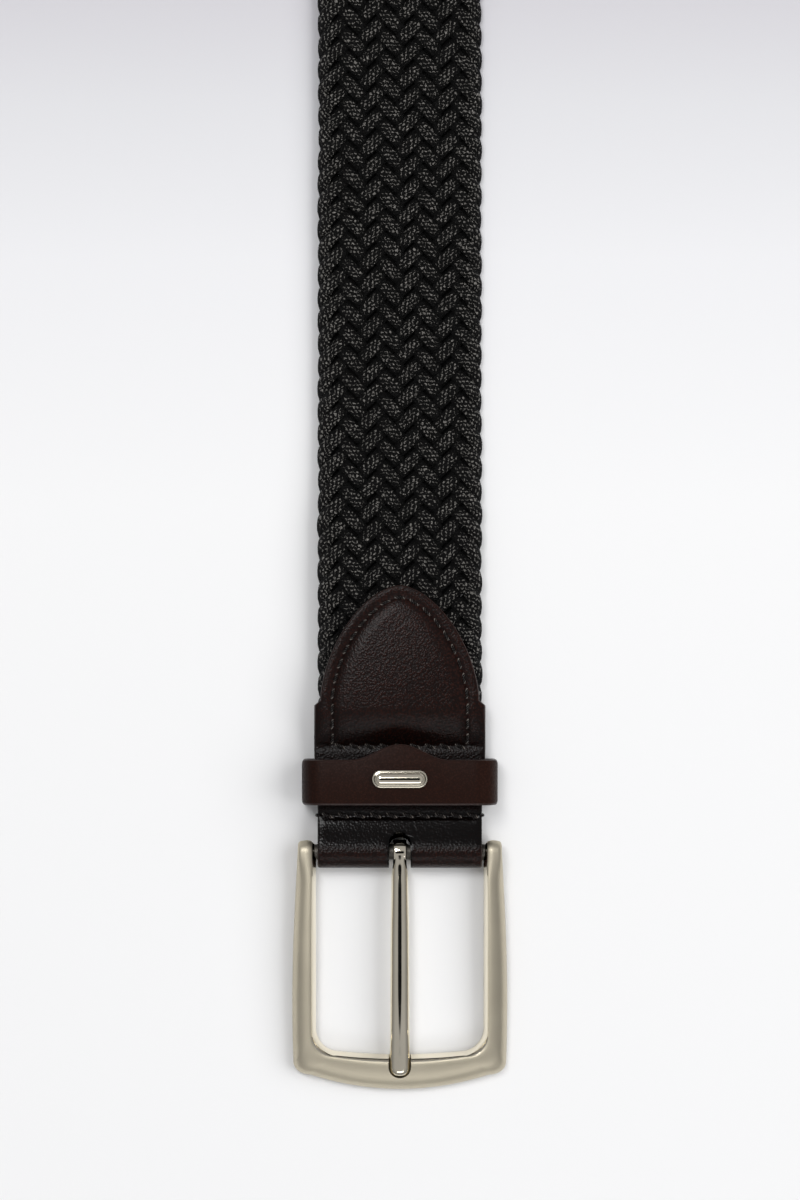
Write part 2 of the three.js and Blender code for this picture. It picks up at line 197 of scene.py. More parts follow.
# The leathers: how far the tint changes, how deep the grain is in metres, how rough and glossy the face is,
# and how many cells of grain a metre has
LEATHERS = table(
    "name tint mottle grain rough gloss cell",
    ("tab_leather", (0.0135, 0.0037, 0.0023), 0.65, 0.00007, 0.2, 0.17, 2100),
    ("keeper_leather", (0.0175, 0.0058, 0.0034), 0.3, 0.00003, 0.34, 0.1, 2300),
    ("edge_leather", (0.024, 0.011, 0.009), 0.3, 0.00002, 0.26, 0.4, 2300),
)

# Angles in degrees from which an edge stays sharp
SHARP = 40
FRAME_SHARP = 32

# Spacing of the rows of points along a leather sheet
ROW = 0.55

# A sheet's face from its rim inwards: distance from the rim, how the cut edge is rounded, the groove of the
# seam, and the padding inside it
RIM = table(
    "inset edge seam puff",
    (0, -0.42, 0, 0),
    (0.06, -0.20, 0, 0),
    (0.18, -0.07, 0, 0),
    (0.40, 0, 0, 0),
    (1.10, 0, 0, 0),
    (1.80, 0, -0.03, 0),
    (2.25, 0, -0.22, 0),
    (2.60, 0, -0.38, 0),
    (2.95, 0, -0.2, 0.05),
    (3.35, 0, -0.03, 0.16),
    (4.20, 0, 0, 0.27),
    (5.40, 0, 0, 0.34),
)
RIM_SEAM_DEPTH = 0.38
SEAM_DEPTH = 0.34
SEAM_SPREAD = 0.55  # half width of the groove of a seam across the belt
SWELL = {"height": 0.08, "away": 2.2, "spread": 1.6}  # the leather's rise on both sides of the first seam
PAD_RISE = 4  # length over which the padding rises from the second seam
DOME = 0.8  # how much higher the padded head is in its middle
DOME_RISE = 2.8  # length over which it rises from the seam round the head
ACROSS = [0.92, 0.82, 0.7, 0.56, 0.42, 0.28, 0.14, 0.0]
WING_START = 15
WING_DROOP = 1.1
TIP_SEAM = 3

# The keeper's section: distance from its edge, depth from inner face to outer face, and which edge it is near
KEEPER_EDGE = table(
    "end inset depth edge",
    (0, 0.45, 1, False),
    (1, 0.45, 1, False),
    (1, 0.18, 0.95, True),
    (1, 0.04, 0.82, True),
    (1, 0, 0.6, True),
    (1, 0, 0.3, True),
    (1, 0.1, 0.08, True),
    (1, 0.3, 0, False),
    (0, 0.3, 0, True),
    (0, 0.1, 0.08, True),
    (0, 0, 0.3, True),
    (0, 0, 0.6, True),
    (0, 0.04, 0.82, True),
    (0, 0.18, 0.95, True),
)

# The plate on the keeper, from its foot to the middle of its top
PLATE_PROFILE = table(
    "inset height",
    (0.10, 0),
    (0, 0.12),
    (0, 0.62),
    (0.06, 0.76),
    (0.2, 0.87),
    (0.42, 0.92),
    (0.56, 0.9),
    (0.64, 0.94),
    (0.7, 1.08),
    (0.84, 1.24),
    (1.05, 1.39),
    (1.3, 1.5),
    (1.55, 1.57),
    (1.75, 1.595),
    (1.9, 1.6),
)

# The frame's section from its inner to its outer edge: heights of its upper and lower face along the frame,
# and of its upper face where an arm ends round the bar
FRAME_STEPS = {"arm": 60, "corner": 26, "end": 50}
FRAME_SECTION = table(
    "across high low at_bar",
    (0, 0.3, 0.3, 0.5),
    (0, 0.52, 0.1, 0.74),
    (0.02, 0.62, 0.05, 0.765),
    (0.09, 0.82, 0.01, 0.84),
    (0.16, 0.94, 0, 0.9),
    (0.2, 0.985, 0, 0.93),
    (0.26, 1, 0, 0.96),
    (0.36, 0.998, 0, 0.985),
    (0.5, 0.97, 0, 1),
    (0.62, 0.92, 0, 0.985),
    (0.74, 0.845, 0, 0.975),
    (0.84, 0.74, 0, 0.96),
    (0.91, 0.62, 0.01, 0.93),
    (0.96, 0.47, 0.05, 0.88),
    (0.99, 0.33, 0.12, 0.78),
    (1, 0.22, 0.22, 0.5),
)
POLISHED_ROWS = 6  # from the inner edge
NOTCH_GAP = 0.22
NOTCH = table(
    "height flare",
    (0, -0.35),
    (0.35, -0.05),
    (1.6, 0),
    (2.6, 0.05),
    (6, 0.3),
)

# The prong: shares of its reach and width, and its underside and top as shares of its height
PRONG_ROWS = table(
    "reach wide low high",
    (0, 0.66, 0.08, 1),
    (0.033, 0.665, 0, 0.965),
    (0.055, 0.68, 0, 0.93),
    (0.078, 0.77, -0.04, 0.925),
    (0.102, 0.83, -0.04, 0.95),
    (0.14, 0.855, -0.03, 1),
    (0.19, 0.87, -0.02, 1.025),
    (0.33, 0.92, 0, 1.04),
    (0.51, 0.94, 0, 1.025),
    (0.68, 0.96, -0.05, 0.98),
    (0.76, 0.97, -0.09, 0.92),
    (0.86, 0.99, -0.16, 0.81),
    (0.94, 1, -0.22, 0.7),
    (0.965, 1, -0.23, 0.64),
    (0.982, 1, -0.23, 0.54),
    (0.993, 1, -0.22, 0.38),
    (1, 1, -0.2, 0.1),
)
TIP_ROUND = 0.957  # share of the reach from which the prong's tip is rounded
TIP_NARROW = 0.12  # width of its very end as a share
BELLY = 0.42  # height of the prong's widest place as a share
NECK_POWER = 2.6  # roundness of the crown by the eye, 2 for an ellipse
PRONG_UNDER = table(
    "across sink",
    (-0.93, 0.62),
    (-0.78, 0.9),
    (-0.55, 1),
    (0.55, 1),
    (0.78, 0.9),
    (0.93, 0.62),
)
EYE_PROFILE = table(
    "x drop",
    (-1, 0.3),
    (-0.96, 0.16),
    (-0.86, 0.07),
    (-0.5, 0.015),
    (0, 0),
    (0.5, 0.015),
    (0.86, 0.07),
    (0.96, 0.16),
    (1, 0.3),
)
SLIT = 0.3
SLIT_ANGLE = 34  # degrees behind the top of the eye

FOLD_MID = BAR_RADIUS + 0.5 + LEATHER / 2
PINCH_MID = (GAP + LEATHER) / 2
PAD_MID = STRAP_THICKNESS / 2 + GAP + LEATHER / 2
APEX = SHOULDER + HEAD_LENGTH
DARK_WAIST = 0.85  # how much painted shade darkens the leather between the bar and the first seam
DARK_BASE = 0.6  # and between the two seams
DOME_MIDDLE = 38
DOME_LENGTH = 17
MOUTH = BELT_LENGTH - TIP_LENGTH


def column(rows, key):
    return np.array([row[key] for row in rows])


def ease(t):
    t = np.clip(t, 0, 1)
    return t * t * (3 - 2 * t)


def mix(a, b, t):
    return a + (b - a) * t


def reach_of(line):
    """How far along a line each of its points is."""
    return np.concatenate([[0], np.cumsum(np.linalg.norm(np.diff(line, axis=0), axis=1))])


def unit(vectors):
    return vectors / np.linalg.norm(vectors, axis=1)[:, None]


def circle(count):
    return np.linspace(0, 2 * math.pi, count, endpoint=False)


def signed_power(values, power):
    return np.sign(values) * np.abs(values) ** power


def add_object(name, data):
    piece = bpy.data.objects.new(name, data)
    bpy.context.scene.collection.objects.link(piece)
    return piece


def place(points):
    """Points in millimetres from the bar's axis, as points of the model in metres."""
    out = np.asarray(points, dtype=float) * MM
    out[..., 1] += BAR_Y
    return out


def grid_faces(rows, columns, wrap_rows=False, wrap_columns=False):
    """Faces of a grid of points that is stored row by row."""
    r = np.arange(rows if wrap_rows else rows - 1)
    c = np.arange(columns if wrap_columns else columns - 1)
    r, c = (a.ravel() for a in np.meshgrid(r, c, indexing="ij"))
    r2, c2 = (r + 1) % rows, (c + 1) % columns
    return np.stack([r * columns + c, r * columns + c2, r2 * columns + c2, r2 * columns + c], axis=1)


class Shape:
    """Grids of points collected into one mesh."""

    def __init__(self):
        self.points, self.faces, self.looks, self.marks, self.levels = [], [], [], [], []
        self.count = 0

    def grid(self, points, look=0, marks=None, level=1.0, wrap_rows=False, wrap_columns=False, caps=False):
        points = np.asarray(points, dtype=float)
        rows, columns = points.shape[:2]
        faces = [tuple(f) for f in grid_faces(rows, columns, wrap_rows, wrap_columns) + self.count]
        looks = np.broadcast_to(np.asarray(look), (len(faces),)).tolist()
        if caps:
            first = self.count
            last = self.count + (rows - 1) * columns
            faces += [tuple(range(first + columns - 1, first - 1, -1)), tuple(range(last, last + columns))]
            looks += [looks[0], looks[-1]]
        self.points.append(points.reshape(-1, 3))
        marks = np.zeros((rows, columns, 2)) if marks is None else np.asarray(marks)
        self.marks.append(marks.reshape(-1, 2))
        self.levels.append(np.broadcast_to(level, (rows, columns)).ravel())
        self.faces += faces
        self.looks += looks
        self.count += rows * columns

    def solid(self, rings, look=0, **settings):
        """Closed rings from one end to the other, with both ends capped."""
        self.grid(rings, look, wrap_columns=True, caps=True, **settings)

    def mesh_object(self, name, crease, merge=1e-6):
        """The collected grids as one object, with meeting points merged."""
        mesh = bpy.data.meshes.new(name)
        points = place(np.concatenate(self.points))
        mesh.from_pydata(points.tolist(), [], [list(map(int, f)) for f in self.faces])
        mesh.polygons.foreach_set("material_index", self.looks)
        # The level: a share per point that the materials use for painted shade and painted glints.
        level = mesh.attributes.new("level", "FLOAT", "POINT")
        level.data.foreach_set("value", np.concatenate(self.levels))
        yarn = mesh.uv_layers.new(name="yarn")
        corner = np.empty(len(mesh.loops), dtype=np.int32)
        mesh.loops.foreach_get("vertex_index", corner)
        yarn.data.foreach_set("uv", np.concatenate(self.marks)[corner].ravel())
        work = bmesh.new()
        work.from_mesh(mesh)
        bmesh.ops.remove_doubles(work, verts=work.verts, dist=merge)
        bmesh.ops.dissolve_degenerate(work, edges=work.edges, dist=merge)
        bmesh.ops.recalc_face_normals(work, faces=work.faces)
        if work.calc_volume(signed=True) < 0:
            bmesh.ops.reverse_faces(work, faces=work.faces)
        shade(work, crease)
        work.to_mesh(mesh)
        work.free()
        return add_object(name, mesh)

    def build(self, name, body, materials, replaces=(), crease=None, merge=1e-6):
        """Makes the object, tells the frame what it is, and returns it."""
        piece = self.mesh_object(name, crease, merge)
        for material in materials:
            piece.data.materials.append(material)
        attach(piece, body)
        if replaces:
            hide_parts(*replaces)
        return piece


# Materials
class Nodes:
    """A tree of shader nodes, with short calls for the usual links."""

    def __init__(self, tree):
        self.nodes = tree.nodes
        self.links = tree.links

    def node(self, kind, inputs=(), **settings):
        node = self.nodes.new(kind)
        for key, value in settings.items():
            setattr(node, key, value)
        for key, value in dict(inputs).items():
            self.feed(node.inputs[key], value)
        return node

    def feed(self, socket, value):
        if isinstance(value, bpy.types.NodeSocket):
            self.links.new(value, socket)
        else:
            socket.default_value = value

    def math(self, operation, a, b=0.0, c=0.0):
        return self.node("ShaderNodeMath", {0: a, 1: b, 2: c}, operation=operation).outputs[0]

    def times(self, a, b):
        return self.math("MULTIPLY", a, b)

    def plus(self, a, b):
        return self.math("ADD", a, b)

    def scaled(self, a, factor, offset):
        return self.math("MULTIPLY_ADD", a, factor, offset)

    def ramp(self, value, *stops):
        node = self.node("ShaderNodeValToRGB", {"Fac": value})
        ramp = node.color_ramp
        while len(ramp.elements) < len(stops):
            ramp.elements.new(1)
        for element, (position, colour) in zip(ramp.elements, stops):
            element.position = position
            element.color = (*colour, 1)
        return node.outputs["Color"]

    def shades(self, value, *stops):
        """A ramp of greys."""
        return self.ramp(value, *[(position, (level,) * 3) for position, level in stops])

    def parts(self, vector):
        return self.node("ShaderNodeSeparateXYZ", {0: vector}).outputs

    def coordinates(self, kind="Object"):
        return self.node("ShaderNodeTexCoord").outputs[kind]


class Look(Nodes):
    """A material made of nodes."""

    def __init__(self, name):
        self.material = bpy.data.materials.new(name)
        self.material.use_nodes = True
        super().__init__(self.material.node_tree)
        self.shader = self.nodes["Principled BSDF"]

    def noise(self, scale, detail=3, rough=0.5):
        inputs = {"Scale": scale, "Detail": detail, "Roughness": rough, "Vector": self.coordinates()}
        return self.node("ShaderNodeTexNoise", inputs).outputs["Fac"]

    def scatter(self, scale):
        """Three noises at once, to move a pattern with."""
        inputs = {"Vector": self.coordinates(), "Scale": scale, "Detail": 2}
        return self.node("ShaderNodeTexNoise", inputs).outputs["Color"]

    def moved(self, vector, by, amount):
        inputs = {0: by, 1: (amount,) * 3, 2: vector}
        return self.node("ShaderNodeVectorMath", inputs, operation="MULTIPLY_ADD").outputs[0]

    def level(self):
        return self.node("ShaderNodeAttribute", attribute_name="level").outputs["Fac"]

    def yarn(self):
        """Places along and across the yarn, in millimetres."""
        return self.node("ShaderNodeUVMap", uv_map="yarn").outputs["UV"]

    def bump(self, height, distance, strength=1.0):
        inputs = {"Height": height, "Distance": distance, "Strength": strength}
        return self.node("ShaderNodeBump", inputs).outputs["Normal"]

    def finish(self, **inputs):
        for key, value in inputs.items():
            self.feed(self.shader.inputs[key.replace("_", " ")], value)
        return self.material


def braid_material():
    """Twisted cords side by side: each cord is a rounded ridge, broken by its own twist. The colour paints shade
    where a strand lies deep and glints on the cords' crests.
    """
    look = Look("braid_cord")
    moved = look.moved(look.yarn(), look.scatter(CORD["wander"]), CORD["stray"])
    along, across = look.parts(moved)[:2]
    slant = math.radians(CORD["slant"])
    shifted = look.math("SUBTRACT", look.times(across, math.cos(slant)),
                        look.times(along, math.sin(slant)))
    cords = look.math("DIVIDE", shifted, CORD["spacing"])
    ridge = look.math("ABSOLUTE", look.math("SINE", look.times(cords, math.pi)))
    turns = look.plus(look.math("DIVIDE", along, CORD["twist"]),
                      look.times(cords, CORD["step"]))
    twist = look.scaled(look.math("SINE", look.times(turns, 2 * math.pi)), 0.5, 0.5)
    height = look.times(look.math("POWER", ridge, 0.7),
                       look.scaled(twist, 0.75, 0.25))
    fibres = look.noise(6000, 2, 0.6)
    height = look.plus(height, look.times(fibres, 0.2))
    # Painted shade and highlight: near black where the strand lies deep and in the grooves, with painted glints
    # on the cords' crests.
    unshaded_part = look.shades(look.level(), (0.4, 0.06), (0.84, 1.0))
    lit = look.times(height, unshaded_part)
    colour = look.ramp(lit, (0.3, (0.001, 0.0009, 0.0008)), (0.68, (0.003, 0.0028, 0.0025)),
                       (1.0, (0.21, 0.20, 0.185)))
    roughness = look.scaled(lit, -0.55, 0.8)
    return look.finish(Base_Color=colour, Roughness=roughness, Specular_IOR_Level=0.25,
                       Normal=look.bump(height, 0.0009))


def leather_material(name, tint, mottle, grain, rough, gloss, cell):
    """Pebbled leather: small raised cells, broad wrinkles under them and a slight change of colour."""
    look = Look(name)
    bent = look.moved(look.coordinates(), look.scatter(1600), 0.0004)
    cells = look.node("ShaderNodeTexVoronoi", {"Vector": bent, "Scale": cell, "Smoothness": 0.4},
                      feature="SMOOTH_F1")
    pebble = look.math("SUBTRACT", 1.0, cells.outputs["Distance"])
    broad = look.noise(170, 3, 0.55)
    height = look.plus(pebble, look.times(broad, 0.6))
    shade_by = look.scaled(look.noise(45, 2), 0.25, look.times(pebble, 0.8))
    colour = look.ramp(shade_by, (0.5, tuple(c * (1 - mottle) for c in tint)),
                       (0.88, tuple(c * (1 + mottle) for c in tint)))
    # Painted shade: the per-point level darkens the leather's colour near the bar and the keeper and in the
    # slot; where it is low the face is also smoother.
    shade_share = look.level()
    colour = look.node("ShaderNodeVectorMath", {0: colour, "Scale": shade_share}, operation="SCALE").outputs[0]
    worn = look.math("MINIMUM", look.times(shade_share, 2.8), 1.0)
    roughness = look.scaled(look.math("SUBTRACT", 1.0, pebble), 0.25, rough)
    roughness = look.times(roughness, worn)
    height = look.times(height, worn)
    return look.finish(Base_Color=colour, Roughness=roughness, Specular_IOR_Level=gloss,
                       Normal=look.bump(height, grain))


def satin_metal():
    """Nickel with a fine blasted finish."""
    look = Look("satin_nickel")
    cloud = look.noise(70, 3)
    colour = look.ramp(cloud, (0.3, (0.60, 0.545, 0.425)), (0.7, (0.67, 0.61, 0.48)))
    roughness = look.scaled(cloud, 0.08, 0.46)
    return look.finish(Base_Color=colour, Metallic=1.0, Roughness=roughness,
                       Normal=look.bump(look.noise(9000, 2, 0.7), 0.000004))


def polished_metal():
    """Nickel polished bright, with a trace of handling marks."""
    look = Look("polished_nickel")
    cloud = look.noise(120, 3)
    colour = look.ramp(cloud, (0.3, (0.86, 0.795, 0.65)), (0.7, (0.90, 0.835, 0.69)))
    roughness = look.scaled(look.noise(700, 3), 0.06, 0.05)
    return look.finish(Base_Color=colour, Metallic=1.0, Roughness=roughness,
                       Normal=look.bump(cloud, 0.00002, 0.3))


def bar_shade_metal():
    """The bar inside the leather, left rough and coloured dark as painted shade where it shows in the slot."""
    look = Look("steel_painted_shade")
    colour = look.ramp(look.noise(300, 3), (0.3, (0.09, 0.085, 0.075)), (0.7, (0.14, 0.13, 0.115)))
    return look.finish(Base_Color=colour, Metallic=1.0, Roughness=0.5,
                       Normal=look.bump(look.noise(2500, 3), 0.00002))


def thread_material():
    """Waxed thread of three plies, with painted highlights on the plies' crests and painted glints along each
    stitch.
    """
    look = Look("waxed_thread")
    along, around = look.parts(look.yarn())[:2]
    turns = look.plus(look.times(along, 1.3), look.times(around, 3))
    ply = look.math("ABSOLUTE", look.math("SINE", look.times(turns, math.pi)))
    # Painted highlights: the plies' crests are lighter, most of all where the level carries a stitch's painted
    # glint.
    lit = look.times(look.scaled(ply, 0.5, 0.5), look.level())
    colour = look.ramp(lit, (0.0, (0.002, 0.0015, 0.0014)), (0.45, (0.009, 0.0065, 0.0058)),
                       (1.0, (0.2, 0.175, 0.155)))
    return look.finish(Base_Color=colour, Roughness=0.22, Normal=look.bump(ply, 0.0003))


BRAID = braid_material()
TAB_LEATHER, KEEPER_LEATHER, EDGE_LEATHER = [leather_material(**row) for row in LEATHERS]
SATIN = satin_metal()
POLISHED = polished_metal()
SHADED_BAR = bar_shade_metal()
THREAD_LOOK = thread_material()


# Heights of the layers
def layer_height(y):
    """How far a leather layer's middle lies from the bar's plane."""
    y = np.asarray(y, dtype=float)
    near = mix(FOLD_MID, PINCH_MID, ease(np.maximum(y, 0) / FIRST_SEAM))
    far = mix(PINCH_MID, PAD_MID, ease((y - SECOND_SEAM) / CLIMB))
    return np.where(y < FIRST_SEAM, near, far)


def tip_inside(y):
    """Height of the inner face of the tip's upper layer."""
    full = LEATHER + 2 * GAP + STRAP_THICKNESS
    closed = LEATHER + GAP
    return mix(full, closed, ease((np.asarray(y, dtype=float) - MOUTH - TIP_HOLD * 0.6) / (TIP_HOLD * 0.85)))


def strap_room(y):
    tab_room = 2 * (layer_height(y) - GAP) - LEATHER
    tip_room = tip_inside(y) - LEATHER - 2 * GAP
    return np.minimum(STRAP_THICKNESS, np.minimum(tab_room, tip_room))


def strap_middle(y):
    low = STRAP_THICKNESS / 2
    start = mix(BAR_HEIGHT, low, ease((y - APEX) / SETTLE))
    in_tip = LEATHER + GAP + strap_room(y) / 2
    end = mix(low, in_tip, ease((y - MOUTH + SETTLE) / SETTLE))
    return np.where(y < (APEX + MOUTH) / 2, start, end)


# Braid
def hug(fold):
    """The place of a strand that stays by the edge while it turns, from its place if it went straight on."""
    t = np.clip(fold / 2, 0, 1)
    return np.where(fold < 2, 4 * t ** 3 - 2.5 * t ** 4, fold - 0.5)


def quick_turn(fold):
    """The same place for a strand's wave, which goes over into its straight course sooner."""
    return fold - 0.5 + 0.5 * np.exp(-2 * fold)


def crossing(fold, turn):
    """The place across the belt, with the same turn at both edges."""
    return np.where(fold < STRANDS / 2, turn(fold), STRANDS - 1 - turn(STRANDS - fold))


def unevenness(rng, time, spacing, amount):
    """A smooth random course along a strand."""
    places = np.arange(0, time[-1] + 2 * spacing, spacing)
    return np.interp(time, places, rng.normal(0, amount, len(places)))


def strand(index, rng):
    """One cord of the braid: it crosses the belt from edge to edge, two over and two under."""
    time = np.arange(0, (BRAID_END - BRAID_START) / RISE, STRAND_STEP)
    y = BRAID_START + time * RISE
    cycle = (time + 2 * index + 0.5) % (2 * STRANDS)
    rightward = cycle < STRANDS
    fold = np.where(rightward, cycle, 2 * STRANDS - cycle)
    slot = crossing(fold, hug)
    sign = np.where(rightward, 1, -1)
    phase = math.pi * (crossing(fold, quick_turn) - 1) / 2
    wave = np.cos(phase) * sign
    from_edge = np.minimum(fold, STRANDS - fold)
    lean = STRAND_LEAN * np.sin(phase) * sign * np.clip(from_edge - 1, 0, 1)
    x = (slot + lean - (STRANDS - 1) / 2) * SLOT * EDGE_IN
    x = x + unevenness(rng, time, **STRAY_ACROSS)
    squeeze = strap_room(y) / STRAP_THICKNESS
    z = strap_middle(y) + STRAND_LIFT * wave * (1 + CREST - CREST * wave ** 2) * squeeze
    middle = np.stack([x, y, z], axis=1)

    tangent = unit(np.gradient(middle, axis=0))
    side = unit(np.stack([tangent[:, 1], -tangent[:, 0], np.zeros(len(y))], axis=1))
    up = np.cross(side, tangent)
    at_edge = np.exp(-(from_edge / TURN_REACH) ** 2)
    half_wide = STRAND_WIDTH / 2 * (1 + unevenness(rng, time, **STRAY_WIDTH))
    half_thick = STRAND_THICKNESS / 2 * mix(1, TURN_SWELL, at_edge) * squeeze

    angle = circle(STRAND_SIDES)
    across = signed_power(np.cos(angle), 2 / STRAND_POWER)
    upward = signed_power(np.sin(angle), 2 / STRAND_POWER)
    rings = (middle[:, None]
             + side[:, None] * (half_wide[:, None] * across)[..., None]
             + up[:, None] * (half_thick[:, None] * upward)[..., None])
    girth = np.where(upward >= 0, across, -across - 4) * STRAND_WIDTH / 2
    marks = np.stack(np.broadcast_arrays(reach_of(middle)[:, None], girth[None] + index), axis=2)
    # Painted shade: the level is low where the strand lies deep in the strap, under its neighbours, and higher
    # on its top and at the turns by the edges; the braid's colour darkens with it.
    level = np.abs(rings[..., 2] - strap_middle(y)[:, None]) / (STRAP_THICKNESS / 2 * squeeze[:, None])
    level = level + LIT_EDGE * np.exp(-(from_edge / LIT_REACH) ** 2)[:, None]
    return rings, marks, level


def build_braid():
    rng = np.random.default_rng(4)
    for index in range(STRANDS):
        rings, marks, level = strand(index, rng)
        shape = Shape()
        shape.solid(rings, marks=marks, level=level)
        shape.build(f"braid_strand_{index + 1:02d}", "strap", [BRAID], ["braided_strap"])


# Leather sheets
def even(line, spacing):
    """The same line with points at an even spacing."""
    reach = reach_of(line)
    at = np.linspace(0, reach[-1], max(2, int(round(reach[-1] / spacing)) + 1))
    return np.stack([np.interp(at, reach, line[:, k]) for k in range(line.shape[1])], axis=1)


def half_arch(foot, start, half, length, power):
    """Half an outline: straight up from the foot to the start, then round to the point on the middle line."""
    angle = np.radians(np.linspace(0, 90, 600))
    x = half * np.cos(angle) ** (2 / power)
    y = start + length * np.sin(angle) ** (2 / power)
    return even(np.concatenate([[[half, foot]], np.stack([x, y], axis=1)]), ROW)


def inward(line, distance):
    """A half outline moved inwards, ended where it meets the middle line."""
    tangent = unit(np.gradient(line, axis=0))
    moved = line + np.stack([-tangent[:, 1], tangent[:, 0]], axis=1) * distance
    past = np.nonzero(moved[:, 0] <= 0)[0]
    if distance > 0 and len(past):
        first = past[0]
        a, b = moved[first - 1], moved[first]
        moved[first:] = a + (b - a) * a[0] / (a[0] - b[0])
    moved[-1, 0] = 0
    moved[:, 0] = np.maximum(moved[:, 0], 0)
    return moved


def seam_line(line):
    """The seam's path from one side of a sheet round its end to the other side."""
    half = inward(line, SEAM_INSET)
    keep = half[:, 0] > 0
    half = np.concatenate([half[keep], [[0, half[~keep][0, 1]]]])
    return np.concatenate([half, half[::-1][1:] * (-1, 1)])


def seam_across(y, reach):
    return np.array([[x, y] for x in np.linspace(-reach, reach, 60)])


def sheet_plan(line):
    """Columns of points across a sheet from rim to rim: place, and how its face is shaped there."""
    rings = [inward(line, row["inset"]) for row in RIM]
    deep = rings[-1]
    rings += [np.column_stack([deep[:, 0] * share, deep[:, 1]]) for share in ACROSS]
    half = np.stack(rings, axis=1)
    other = half[:, ::-1][:, 1:] * (-1, 1)
    plan = np.concatenate([half, other], axis=1)
    columns = {}
    for key in ("inset", "edge", "seam", "puff"):
        values = [row[key] for row in RIM] + [RIM[-1][key]] * len(ACROSS)
        columns[key] = np.array(values + values[::-1][1:])
    return plan, columns


def skin(plan, outer, inner):
    """Closed rings round a sheet, from the heights of its two faces."""
    front = np.concatenate([plan, outer[..., None]], axis=2)
    back = np.concatenate([plan, inner[..., None]], axis=2)[:, ::-1]
    return np.concatenate([front, back], axis=1)


def rim_looks(rows, columns):
    """Which faces of such rings belong to the cut edge."""
    per_row = np.zeros(2 * columns, dtype=int)
    per_row[[0, 1, columns - 3, columns - 2, columns - 1, columns, columns + 1]] = 1
    per_row[[2 * columns - 3, 2 * columns - 2, 2 * columns - 1]] = 1
    return np.tile(per_row, rows - 1)


# Leather tab
def tab_layer(plan, columns, side):
    """The two faces of one layer of the tab: heights over the bar's plane, outer then inner."""
    x, y = plan[..., 0], plan[..., 1]
    sewn = ease((y - SECOND_SEAM + 0.5) / 1.5)
    padded = ease((y - SECOND_SEAM) / PAD_RISE)
    dome = DOME * np.cos(np.clip((y - DOME_MIDDLE) / DOME_LENGTH, -1, 1) * math.pi / 2)
    dome = dome * np.cos(np.clip(x / HEAD_HALF, -1, 1) * math.pi / 2)
    dome = dome * np.clip((columns["inset"] - SEAM_INSET) / DOME_RISE, 0, 1)
    seams = sum(np.exp(-((y - seam) / SEAM_SPREAD) ** 2) for seam in (FIRST_SEAM, SECOND_SEAM))
    swell = sum(np.exp(-((y - FIRST_SEAM + away) / SWELL["spread"]) ** 2)
                for away in (SWELL["away"], -SWELL["away"]))
    inside = np.clip(columns["inset"] / RIM[-1]["inset"], 0, 1)
    wing = np.clip((np.abs(x) - WING_START) / (BASE_HALF - WING_START), 0, 1)
    droop = WING_DROOP * wing ** 2 * ease((y - SECOND_SEAM) / CLIMB) * (1 - ease((y - SHOULDER) / 2))
    middle = layer_height(y) - droop
    relief = (columns["puff"] + dome) * padded if side > 0 else 0
    outer = (middle + LEATHER / 2 + columns["edge"] + columns["seam"] * sewn + relief
             - SEAM_DEPTH * seams * np.minimum(1, inside * 6) + SWELL["height"] * swell * inside)
    inner = middle - LEATHER / 2 - columns["edge"]
    return outer, inner


def tab_outline(foot):
    start = SHOULDER + SHOULDER_STEP
    return half_arch(foot, start, HEAD_HALF, APEX - SHOULDER - SHOULDER_STEP, HEAD_POWER)


def build_tab():
    """One strip: the head above, round the bar, and the head below, with the prong's slot cut through it."""
    plan, columns = sheet_plan(tab_outline(0))
    y = plan[..., 1]
    widening = mix(WAIST_HALF, BASE_HALF, ease((y - FIRST_SEAM) / (SECOND_SEAM - FIRST_SEAM))) - HEAD_HALF
    widening = widening * (1 - ease((y - SHOULDER + 0.15) / SHOULDER_STEP))
    plan[..., 0] += np.sign(plan[..., 0]) * widening * np.clip(1 - columns["inset"] / 2, 0, 1)

    layers = []
    for side in (1, -1):
        outer, inner = tab_layer(plan, columns, side)
        layers.append(skin(plan, BAR_HEIGHT + side * outer, BAR_HEIGHT + side * inner))
    outer, inner = tab_layer(plan[:1], columns, 1)
    x = np.concatenate([plan[0, :, 0], plan[0, ::-1, 0]])
    level = np.concatenate([outer[0], inner[0, ::-1]])
    turn = []
    for angle in np.radians(np.linspace(0, 180, 31))[1:-1]:
        turn.append(np.stack([x, -np.sin(angle) * level, BAR_HEIGHT + np.cos(angle) * level], axis=1))
    rings = np.concatenate([layers[0][::-1], np.array(turn), layers[1]])
    shape = Shape()
    looks = rim_looks(len(rings), plan.shape[1])
    shape.grid(rings, looks, level=leather_painted_shade(rings[..., 1]), wrap_columns=True)
    tab = shape.build("leather_tab_sewn", "strap", [TAB_LEATHER, EDGE_LEATHER], ["leather_tab"])
    below = obround(SLOT_HALF, -3 * FOLD_MID, LOWER_SLOT_END, 24)
    above = obround(SLOT_HALF, -3 * FOLD_MID, SLOT_END, 24)
    slot = np.concatenate([standing(below, -BAR_HEIGHT, BAR_HEIGHT - 1),
                           standing(above, BAR_HEIGHT, 3 * BAR_HEIGHT)])
    # The slot's cut walls get a level of 0.5: painted shade, half as light as the open leather.
    carve(tab, slot, "DIFFERENCE", SHARP, level=0.5)


def leather_painted_shade(y):
    """Painted shade: the leather's colour is darkest between the bar and the first seam, and dark up to the
    second.
    """
    past_bar = ease(y / 2)
    past_first = ease((y - FIRST_SEAM) / 2)
    past_second = ease((y - SECOND_SEAM) / 9)
    return 1 - DARK_WAIST * past_bar * (1 - past_first) - DARK_BASE * past_first * (1 - past_second)


